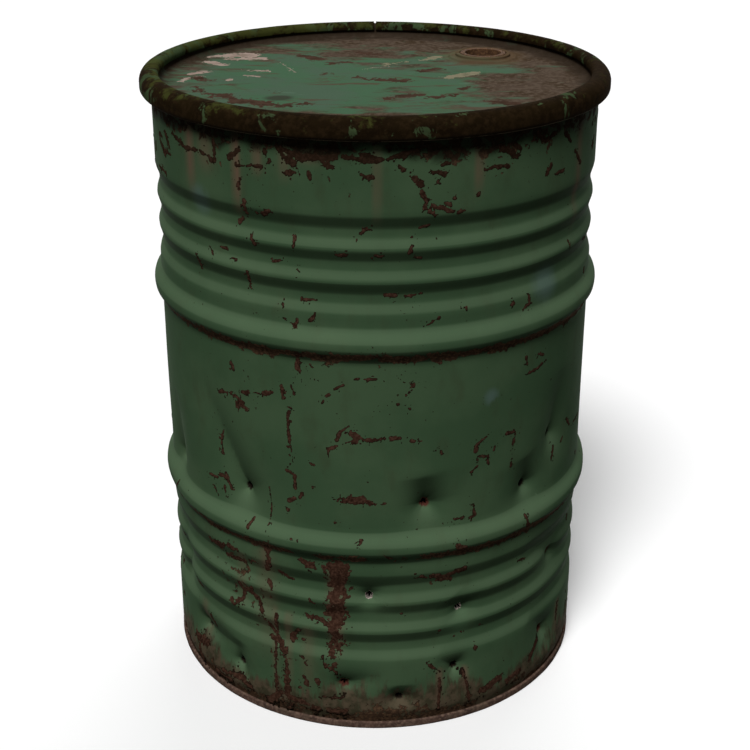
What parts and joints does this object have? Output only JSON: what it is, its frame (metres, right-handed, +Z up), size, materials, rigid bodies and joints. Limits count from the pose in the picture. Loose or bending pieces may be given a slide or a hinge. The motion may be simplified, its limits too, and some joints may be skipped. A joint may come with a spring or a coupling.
{
  "type": "rusty steel oil drum",
  "caption": "Dented, bullet-holed open-head 200 litre steel drum: hooped and grooved body, seamed bottom, dished lid with a screw bung, and a bolted closing ring.",
  "frame": {"origin": "on the drum's axis at the floor, which the bottom seam stands on", "axes": "+Z up along the drum's axis, -Y towards the dented front, +X to the right seen from the front"},
  "size_m": [0.6004, 0.6102, 0.8283],
  "materials": {
    "body_paint": "weathered green enamel on steel, chipped through to brown rust",
    "bottom_rust": "brown rust and dried mud on pressed steel",
    "lid_paint": "green enamel worn to brown rust, with pale scrapes",
    "ring_paint": "dark olive-brown rust with remains of green paint",
    "forged_steel": "rusted forged steel",
    "bolt_steel": "rusted bolt steel",
    "bung_steel": "orange-brown rust on pressed steel",
    "gasket_rubber": "perished black rubber"
  },
  "bodies": {
    "drum": {"body_shell": "body_paint", "bottom_head": "bottom_rust", "lid": "lid_paint", "lid_gasket": "gasket_rubber", "closing_ring": "ring_paint", "ring_lug_plain": "forged_steel", "ring_lug_threaded": "forged_steel", "ring_bolt": "bolt_steel", "ring_jam_nut": "bolt_steel", "bung_flange": "bung_steel", "bung_flange_gasket": "gasket_rubber"},
    "plug_gasket": {"bung_plug_gasket": "gasket_rubber"},
    "plug": {"bung_plug": "bung_steel"}
  },
  "joints": [
    {"name": "bung_rise", "type": "slide", "parent": "drum", "child": "plug_gasket", "axis": [0, 0, 1], "range_m": [0, 0.00924]},
    {"name": "bung_turn", "type": "hinge", "parent": "plug_gasket", "child": "plug", "pos_m": [0.148, 0.133, 0.81], "axis": [0, 0, 1], "range_deg": [0, 1440]}
  ],
  "couplings": [
    {"joint": "bung_rise", "follows": "bung_turn", "m_per_rad": 0.0003675}
  ]
}
